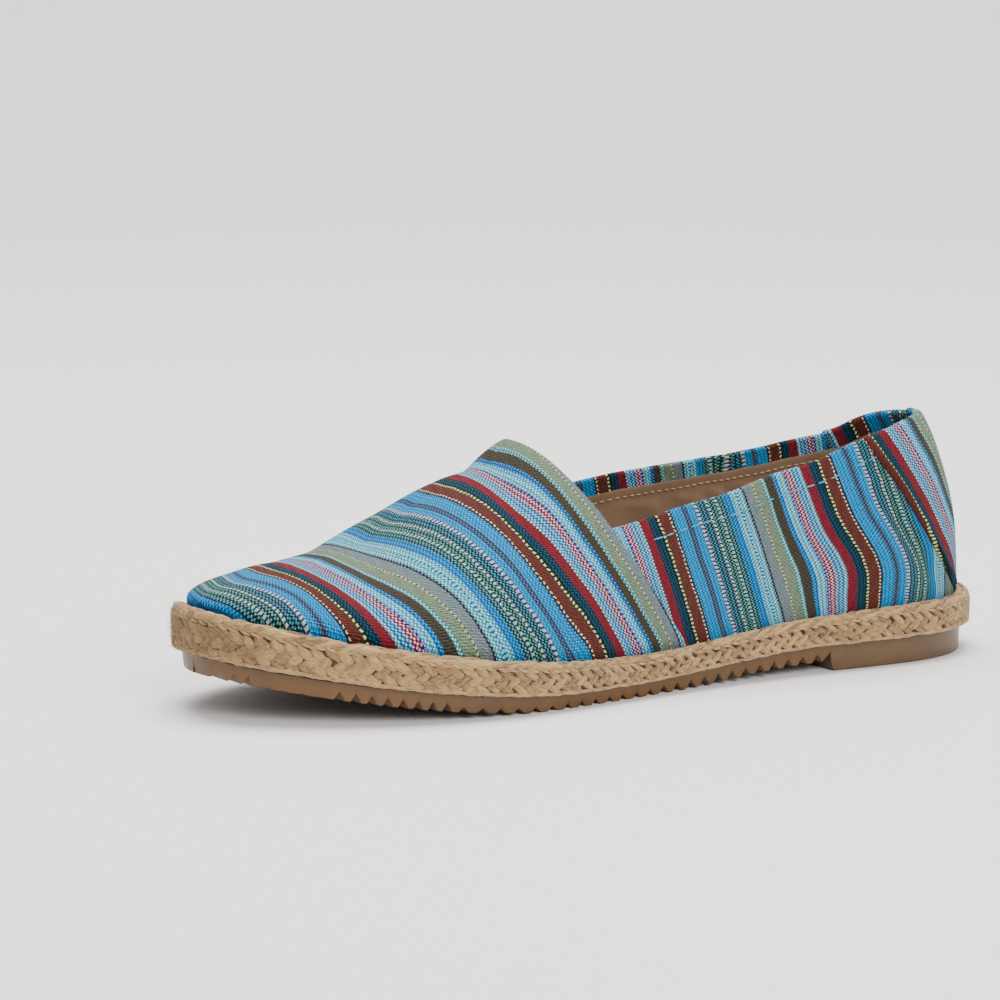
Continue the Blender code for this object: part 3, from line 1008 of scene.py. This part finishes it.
def strand(path, side_way, out_way, width, thick, around, mark=0.0):
    """Vertices, faces and weave of one strand along path, closed at both ends."""
    angle = np.arange(around) / around * math.tau
    rings = (
        path[:, None]
        + side_way[:, None] * (width[:, None] * np.cos(angle))[..., None]
        + out_way[:, None] * (thick[:, None] * np.sin(angle))[..., None]
    )
    weave = np.zeros((len(path), around, 3))
    weave[..., 0] = np.cos(angle) * width[:, None] / MM
    weave[..., 1] = run(path[None], 1)[0][:, None] / MM
    weave[..., 2] = mark
    return *loft(rings), weave.reshape(-1, 3)


def running_stitch(depth, offset, pitch, length, radius, seed, skip):
    """Stitches in a row at a depth below the collar's edge."""
    points = collar_strip(np.linspace(0.0, 2.0, 320), np.linspace(0, 1, 90))
    below = from_top(points)
    line = at_depth(points, below, depth)
    out = at_depth(outward(points, 1), below, depth)
    reach = run(line[None], 1)[0]
    random = np.random.default_rng(seed)
    parts = []
    for start in np.arange(pitch, reach[-1] - pitch, pitch):
        if random.random() < skip:
            continue
        long = length * random.uniform(0.8, 1.15)
        where = start + np.linspace(0, long, 7)
        path, way = (
            np.stack([np.interp(where, reach, row) for row in grid.T], axis=-1)
            for grid in (line, out)
        )
        swell = np.sin(math.pi * np.linspace(0.02, 0.98, 7))
        path = path + way * (offset + np.sign(offset) * radius * (swell - 0.55))[:, None]
        aside = np.cross(unit(np.gradient(path, axis=0)), way)
        size = radius * (0.45 + 0.55 * swell)
        parts.append(strand(path, aside, way, size, size, 6))
    return join_parts(parts)


STITCHES = (
    # name, depth, offset, pitch, length, radius, seed, share left out, finish
    ("hem_stitches", 0.0064, 0.00018, 0.0048, 0.0034, 0.00028, 3, 0.10, HEM_THREAD),
    ("lining_stitches", 0.0080, -WALL - 0.00034, 0.0026, 0.0018, 0.00028, 4, 0.0, TAN_THREAD),
)
for name, *sizes, finish in STITCHES:
    new_piece(name, running_stitch(*sizes), finish)

# %% [markdown]
# ## Jute
#
# The braid round the sole shows three rows of short lobes that slant in turn
# one way and the other, under a cord that is rolled over the top edge. Every
# lobe is modelled: a swept ellipse that swells in the middle and dives under
# its neighbours at both ends. Displacing a smooth band would be lighter but
# can't give the dark gaps between the strands. The core behind the lobes also
# has a darker jute, which paints shade into those gaps.


# %% Jute material
def jute(name, light, middle, dark):
    """Fibres that run along a strand, with a tone of its own for each strand."""
    finish, tree, shader = new_finish(name, 0.88, 0.2, 0.25)
    place, _, _, number = weave_sockets(tree)
    stretch = tree.nodes.new("ShaderNodeVectorMath")
    stretch.operation = "MULTIPLY"
    tree.links.new(place, stretch.inputs[0])
    stretch.inputs[1].default_value = (6.5, 0.5, 7.0)
    fibre = noise(tree, stretch.outputs[0], 1.0, 4.0, 0.62)
    mark = calc(tree, "FRACT", number)
    tone = calc(tree, "MULTIPLY_ADD", mark, 0.42, between(tree, fibre, 0.34, 0.66, -0.04, 0.76))
    node = tree.nodes.new("ShaderNodeValToRGB")
    ramp = node.color_ramp
    ramp.elements[0].position = 0.12
    ramp.elements[0].color = dye(*dark, 0.9)
    ramp.elements[1].position = 0.92
    ramp.elements[1].color = dye(*light, 0.9)
    ramp.elements.new(0.5).color = dye(*middle, 0.9)
    tree.links.new(tone, node.inputs[0])
    tree.links.new(node.outputs[0], shader.inputs["Base Color"])
    bump(tree, shader, fibre, 0.8, 0.0004)
    return finish


JUTE = jute("jute", (236, 208, 170), (206, 172, 132), (136, 102, 72))
# the core's jute is a darker copy of the braid's: painted shade for the gaps deep between the
# lobes, on top of the shade that the lobes cast
SHADED_JUTE_CORE = jute("shaded_jute_core", (168, 132, 98), (138, 106, 76), (96, 70, 48))

# %% The braid's strands
BRAID_PITCH = 4.1
BRAID_ROWS = (
    # height share, slant in degrees, length in mm, width share, inset in mm, dive in mm
    (0.190, 34.0, 5.8, 1.00, 0.0, 0.90),
    (0.405, -34.0, 6.1, 1.02, 0.0, 0.90),
    (0.625, 33.0, 5.8, 0.98, 0.0, 0.90),
    (0.875, -10.0, 9.0, 0.84, 0.10, 0.35),
    (0.930, -12.0, 9.0, 0.80, 1.9, 0.30),
)
ROW_SHARE = 0.25
STRAND_DEEP = 0.00085
STRAND_THICK = 0.00092
LOOSE_REACH = 0.020
ROLL_TOP = 0.0010
ROLL_FOOT = 0.0006
ring_reach = np.append(0.0, np.cumsum(np.hypot(*np.diff(RING, axis=0).T)))
TIP_REACH = float(ring_reach[int(np.argmax(RING[:, 0]))])


def on_braid(reach, height, inset):
    """A point on the braid's face: reach along it, height as a share, inset in metres."""
    reach = np.mod(reach, ROUND)
    x, y, out_x, out_y = (
        np.interp(reach, ring_reach, values) for values in (*RING.T, *RING_OUT.T)
    )
    rolled = ROLL_TOP * np.clip((height - 0.76) / 0.24, 0, None) ** 2
    rolled = rolled + ROLL_FOOT * np.clip((0.14 - height) / 0.14, 0, None) ** 2
    x = x - out_x * (inset + rolled)
    y = y - out_y * (inset + rolled)
    low = sole_top(x) + CLEARANCE
    tall = band_top(x) - low
    point = np.stack([x, y, low + height * tall], axis=-1)
    out = np.stack([out_x, out_y, 0 * out_x], axis=-1)
    return point, out, tall


def frame_of(path, out):
    """The direction across a path that lies on the braid's face."""
    return unit(np.cross(unit(np.gradient(path, axis=0)), out))


def looseness(reach):
    """1 at the tip of the toe, where the braid is worn and loose, 0 away from it."""
    return math.exp(-(((reach - TIP_REACH) / LOOSE_REACH) ** 2))


def lobe(reach, row, random):
    """One strand of the plait, where it shows between its two crossings."""
    height, slant, length, width, inset, dive = row
    loose = 1 + 1.6 * looseness(reach)
    u = np.linspace(-1, 1, 11)
    slant = math.radians(slant + random.normal(0, 4.0 * loose))
    length = length * MM * random.uniform(0.88, 1.12)
    height = height + random.normal(0, 0.012 * loose)
    _, _, tall = on_braid(np.array([reach]), np.array([height]), 0.0)
    tall = float(tall[0])
    bend = random.normal(0, 0.25 * MM) * (1 - u**2)
    along = reach + u * length / 2 * math.cos(slant)
    up = height + (u * length / 2 * math.sin(slant) + bend) / tall
    up = np.clip(up, 0.12, 0.95)
    deep = STRAND_DEEP + inset * MM + dive * MM * u**4
    deep = deep + random.uniform(-0.00010, 0.00022)
    path, out, _ = on_braid(along, up, deep)
    wide = 0.5 * width * ROW_SHARE * tall * random.uniform(0.88, 1.10)
    wide = wide * (1 - 0.42 * u**2)
    thick = STRAND_THICK * (1 - 0.30 * u**2)
    return strand(path, frame_of(path, out), out, wide, thick, 10, random.uniform(0.02, 0.98))


braid_random = np.random.default_rng(11)
lobes = []
LOBES = round(ROUND / MM / BRAID_PITCH)
for number, row in enumerate(BRAID_ROWS):
    for i in range(LOBES):
        middle = (i + 0.5 * (number % 2)) * ROUND / LOBES + braid_random.normal(0, 0.00025)
        lobes.append(lobe(middle, row, braid_random))
braid = new_piece("jute_braid", join_parts(lobes), JUTE)
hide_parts("rope_band")


# %% Stitches, lower edge and core of the braid
def yarn(reach, height, inset, size, around, mark):
    """A round strand that lies on the braid's face."""
    path, out, _ = on_braid(reach, height, inset)
    return strand(path, frame_of(path, out), out, size, size, around, mark)


STITCH_STEP = 0.0037
STITCH_REACH = 0.0017
STITCH_HEIGHT = 0.775
EDGE_YARNS = 3 * LOBES
EDGE_REACH = 0.0038
EDGE_HEIGHT = 0.066
CORE = (
    # height share, inset in mm
    (0.0, 4.2),
    (0.0, 1.7),
    (0.10, 1.08),
    (0.85, 1.08),
    (0.90, 2.2),
    (0.90, 4.2),
)


def braid_yarns(random):
    """The stitches along the top of the braid and the yarns of its lower edge."""
    yarns = []
    u = np.linspace(-1, 1, 9)
    for i in range(round(ROUND / STITCH_STEP)):
        reach = i * STITCH_STEP + random.normal(0, 0.0002) + u * STITCH_REACH
        height = STITCH_HEIGHT + random.normal(0.028, 0.008) * u
        size = 0.00038 * (1 - 0.45 * u**2)
        inset = 0.0002 + 0.0008 * u**2
        yarns.append(yarn(reach, height, inset, size, 6, random.uniform(0.8, 0.99)))
    u = np.linspace(-1, 1, 11)
    for i in range(EDGE_YARNS):
        reach = i * ROUND / EDGE_YARNS + random.normal(0, 0.0006) + u * EDGE_REACH
        rise = random.normal(0.0, 0.04) * u
        height = np.clip(EDGE_HEIGHT + random.normal(0, 0.018) + rise, 0.04, 0.14)
        size = random.uniform(0.00030, 0.00050) * (1 - 0.4 * u**2)
        inset = 0.0003 + 0.0009 * u**2
        yarns.append(yarn(reach, height, inset, size, 6, random.uniform(0.6, 0.99)))
    return join_parts(yarns)


new_piece("braid_yarns", braid_yarns(braid_random), JUTE)
round_braid = np.linspace(0, ROUND, 361)[:-1]
core_rings = np.array(
    [on_braid(round_braid, height + 0 * round_braid, inset * MM)[0] for height, inset in CORE]
)
core_weave = np.zeros(core_rings.shape)
core_weave[..., 1] = core_rings[..., 0] / MM
core = (*loft(core_rings, closed=True), core_weave.reshape(-1, 3))
# the core wears the darker jute, painted shade in the braid's gaps
new_piece("braid_core", core, SHADED_JUTE_CORE)

# %% Loose fibres
FIBRES = 1900
AT_TOE = 0.35
BRAID_TALL = 0.011


def loose_fibres(random):
    """Fine hairs that stand off the braid, many of them at the worn toe."""
    hairs = []
    u = np.linspace(0, 1, 5)
    for _ in range(FIBRES):
        if random.random() < AT_TOE:
            reach = TIP_REACH + random.normal(0, 0.016)
            long = random.uniform(0.002, 0.0055)
        else:
            reach = random.uniform(0, ROUND)
            long = random.uniform(0.0015, 0.0050)
        height = random.uniform(0.02, 0.97)
        heading = random.uniform(0, math.tau) + random.normal(0, 0.6) * u
        step = long / 4
        along = reach + np.cumsum(np.cos(heading)) * step
        up = height + np.cumsum(np.sin(heading)) * step * 0.6 / BRAID_TALL
        lift = random.uniform(0.0, 1.0) ** 2 * long * 0.5
        inset = -0.00005 - lift * u**1.5
        size = 0.00006 * (1 - 0.5 * u)
        up = np.clip(up, 0.0, 1.03)
        hairs.append(yarn(along, up, inset, size, 3, random.uniform(0.3, 0.99)))
    return join_parts(hairs)


fibres = loose_fibres(np.random.default_rng(23))
new_piece("jute_fibres", fibres, JUTE)

# %% [markdown]
# ## Rubber sole
#
# The sole is moulded crepe-coloured rubber: a ribbed sheet under the front and
# a smooth block under the heel with a thin lip round its foot. It is lofted
# from cross sections that stand close together where the ribs turn.


# %% Rubber
def rubber():
    """Two tones of rubber, one for the heel block and one for the ribbed sheet."""
    finish, tree, shader = new_finish("rubber", 0.46)
    place = tree.nodes.new("ShaderNodeTexCoord").outputs["Object"]
    cloud = noise(tree, place, 90.0, 5.0, 0.6)
    fine = noise(tree, place, 1400.0, 3.0)
    split = tree.nodes.new("ShaderNodeSeparateXYZ")
    tree.links.new(place, split.inputs[0])
    front = between(tree, split.outputs[0], -0.075, -0.062)
    color = blend_colors(tree, front, dye(140, 112, 82, 1.3), dye(146, 112, 76, 1.35))
    worn = between(tree, cloud, 0.3, 0.7)
    shade = blend_colors(tree, worn, paint(206, 200, 194), paint(255, 255, 255))
    color = blend_colors(tree, 1.0, color, shade, "MULTIPLY")
    tree.links.new(color, shader.inputs["Base Color"])
    tree.links.new(between(tree, cloud, 0.25, 0.75, 0.36, 0.58), shader.inputs["Roughness"])
    bump(tree, shader, fine, 0.25, 0.0002)
    shader.inputs["Subsurface Weight"].default_value = 0.08
    shader.inputs["Subsurface Radius"].default_value = (0.004, 0.0025, 0.0015)
    shader.inputs["Subsurface Scale"].default_value = 1.0
    return finish


RUBBER_FINISH = rubber()
TREAD = (
    # from and to, as shares of the length, number of gaps, depth in mm, open share
    (0.2534, 0.4894, 12, 2.3, 0.72),
    (0.4894, 0.6270, 7, 1.7, 0.60),
    (0.6270, 0.7600, 6, 1.4, 0.60),
    (0.7600, 0.8870, 8, 2.4, 0.72),
    (0.8870, 0.9535, 4, 0.2, 0.60),
    (0.9535, 0.9830, 3, 2.4, 0.96),
)
SAG = 0.0007
LIP = 0.00018
NOTCH = (
    # place in the gap from -1 to 1, share of the depth
    (-1.0, 0.0),
    (-0.87, 0.07),
    (-0.10, 0.96),
    (0.0, 1.0),
    (0.10, 0.96),
    (0.87, 0.07),
    (1.0, 0.0),
)


def rubber_bottom(x):
    """Height of the rubber's underside; it sags a little where nothing carries it."""
    rise = float(sole_rise(x))
    return rise - SAG * (1 - math.exp(-rise / (1.2 * MM)))


def half_width(side, inset, x):
    """Where the edge of one side lies, across the shoe, at x."""
    half, _ = half_plan(side, inset)
    return float(np.interp(x, half[:, 0], half[:, 1]))


def tread_profile():
    """Rows of x and the height of the underside there, heel to toe."""
    front = RING[:, 0].max() - RUBBER_INSET
    back = RING[:, 0].min() + RUBBER_INSET
    breast = (BREAST - 0.5) * LENGTH
    radius = 0.33 * BALL_WIDTH
    heel = back + radius * (1 - np.cos(np.linspace(0, 1, 40) * math.pi / 2))
    rows = [(x, 0.0) for x in heel]
    rows += [(x, 0.0) for x in np.linspace(heel[-1], breast - 0.3 * RIB_PITCH, 8)[1:]]
    rows.append((breast - 0.1 * RIB_PITCH, float(sole_rise(breast)) * 0.5))
    rows.append((breast, float(sole_rise(breast)) + RIB_DEPTH))
    for first, end, gaps, depth, open_share in TREAD:
        edges = (np.linspace(first, end, gaps + 1) - 0.5) * LENGTH
        for x, pitch in zip(edges, np.diff(edges)):
            for at, part in NOTCH:
                here = x + (0.5 + 0.5 * at * open_share) * pitch
                rows.append((here, rubber_bottom(here) + part * depth * MM))
    last_x = rows[-1][0]
    for x in last_x + (front - last_x) * np.sin(np.linspace(0, 1, 40)[1:] * math.pi / 2):
        rows.append((x, rubber_bottom(x)))
    return rows, breast


def sole_section(x, bottom, heel):
    """A ring of points round the sole at x, from the outer top edge to the inner."""
    top = float(sole_top(x))
    wall = top - bottom
    lip = LIP / RUBBER_INSET if heel else 0.0
    levels = (
        # height, further inset as a share
        (top, 0.0),
        (top - 0.35 * wall, 0.02),
        (bottom + min(0.0016, 0.35 * wall), 0.10),
        (bottom + min(0.0012, 0.28 * wall), 0.12 - lip),
        (bottom + min(0.0003, 0.1 * wall), 0.14 - lip),
        (bottom, 0.24),
    )
    outer, inner = (
        [(x, half_width(side, RUBBER_INSET * (1 + k), x), z) for z, k in levels]
        for side in (1, -1)
    )
    wide = inner[-1][1] - outer[-1][1]
    middle = [(x, outer[-1][1] + wide * t, bottom) for t in (0.12, 0.5, 0.88)]
    return outer + middle + inner[::-1]


tread, breast = tread_profile()
sections = np.array([sole_section(x, bottom, x < breast) for x, bottom in tread])
rubber_sole = new_piece("rubber_sole", (*loft(sections), None), RUBBER_FINISH)
rubber_sole.data.set_sharp_from_angle(angle=math.radians(32))
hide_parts("outsole")

# %% [markdown]
# ## Footbed
#
# Inside lies a thin padded footbed covered in the same taupe cotton, dished
# a little so that its edge stands against the lining.

# %% Footbed
DISH = 0.20
BED_ROUND = 0.0012


def bed_section(x):
    """A ring of points round the footbed at x: its dished top, then its underside."""
    low = float(sole_top(x)) + CLEARANCE
    outer, inner = (half_width(side, FOOTBED_INSET, x) for side in (1, -1))
    section = []
    for k in np.linspace(-1, 1, 33):
        aside = (outer + inner) / 2 + (outer - inner) / 2 * k
        rise = FOOTBED * (1 - DISH + DISH * k**2)
        rise -= BED_ROUND * np.clip((abs(k) - 0.94) / 0.06, 0, 1) ** 2
        section.append((x, aside, low + rise))
    return [*section, (x, outer, low), (x, inner, low)]


bed_back = RING[:, 0].min() + FOOTBED_INSET
bed_front = RING[:, 0].max() - FOOTBED_INSET
bed_turn = np.cos(math.pi * np.linspace(0.004, 0.996, 120))
bed_x = (bed_back + bed_front) / 2 - (bed_front - bed_back) / 2 * bed_turn
bed = np.array([bed_section(x) for x in bed_x])
bed_weave = bed.reshape(-1, 3) / MM
bed_weave[:, 2] = 0.0
footbed = new_piece("footbed", (*loft(bed), bed_weave), LINING)
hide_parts("insole")

# %% [markdown]
# ## Studio
#
# A plain pale floor that curves up behind, a large soft light overhead and a
# weaker one from the camera's side. The camera stands far off with a long lens,
# placed so that the shoe's outline falls where it does in the picture.

# %% Camera
CAMERA_PLACE = (0.9115, 1.5170, 0.3280)
CAMERA_AIM = (0.0174, -0.0218, 0.0525)
LENS = 213.8


def stand(name, data, place, aim):
    """A camera or light at a place, turned towards its aim."""
    thing = bpy.data.objects.new(name, data)
    bpy.context.scene.collection.objects.link(thing)
    thing.location = place
    thing.rotation_mode = "QUATERNION"
    thing.rotation_quaternion = (Vector(aim) - Vector(place)).to_track_quat("-Z", "Y")
    return thing


camera_data = bpy.data.cameras.new("camera")
camera_data.lens = LENS
camera_data.sensor_width = 36.0
camera_data.clip_start = 0.1
camera_data.clip_end = 20.0
bpy.context.scene.camera = stand("camera", camera_data, CAMERA_PLACE, CAMERA_AIM)

# %% Floor and lights
FLOOR_WIDE = 4.0
SWEEP_START = 1.2
SWEEP_RADIUS = 1.0
floor_finish, tree, shader = new_finish("pale_floor", 0.75)
shader.inputs["Base Color"].default_value = paint(222, 220, 219)
profile = [(-FLOOR_WIDE, 0.0), (SWEEP_START, 0.0)]
for k in range(1, 17):
    angle = math.pi / 2 * k / 16
    far = SWEEP_START + SWEEP_RADIUS * math.sin(angle)
    profile.append((far, SWEEP_RADIUS - SWEEP_RADIUS * math.cos(angle)))
profile.append((SWEEP_START + SWEEP_RADIUS, 3.5))
view = (Vector(CAMERA_AIM) - Vector(CAMERA_PLACE)).to_2d().normalized()
side_way = Vector((-view.y, view.x))
floor_points = []
for far, up in profile:
    for aside in (-FLOOR_WIDE, FLOOR_WIDE):
        spot = view * far + side_way * aside
        floor_points.append((spot.x, spot.y, up))
floor_faces = [(2 * i, 2 * i + 1, 2 * i + 3, 2 * i + 2) for i in range(len(profile) - 1)]
floor_mesh = bpy.data.meshes.new("floor")
floor_mesh.from_pydata(floor_points, [], floor_faces)
floor_mesh.polygons.foreach_set("use_smooth", [True] * len(floor_mesh.polygons))
floor_mesh.materials.append(floor_finish)
floor = bpy.data.objects.new("floor", floor_mesh)
bpy.context.scene.collection.objects.link(floor)


def soft_light(name, place, aim, size, power):
    """A square area light of a slightly warm white."""
    data = bpy.data.lights.new(name, "AREA")
    data.shape = "RECTANGLE"
    data.size = size
    data.size_y = size
    data.energy = power
    data.color = (1.0, 0.98, 0.96)
    stand(name, data, place, aim)


soft_light("overhead", (-0.1, -0.35, 1.9), (0, 0, 0), size=1.5, power=95)
soft_light("camera_side", (0.2, 1.9, 1.2), (0, 0, 0.03), size=1.2, power=54)
world = bpy.data.worlds.new("studio")
bpy.context.scene.world = world
world.use_nodes = True
background = world.node_tree.nodes["Background"]
background.inputs["Color"].default_value = (0.93, 0.95, 1.0, 1.0)
background.inputs["Strength"].default_value = 0.66
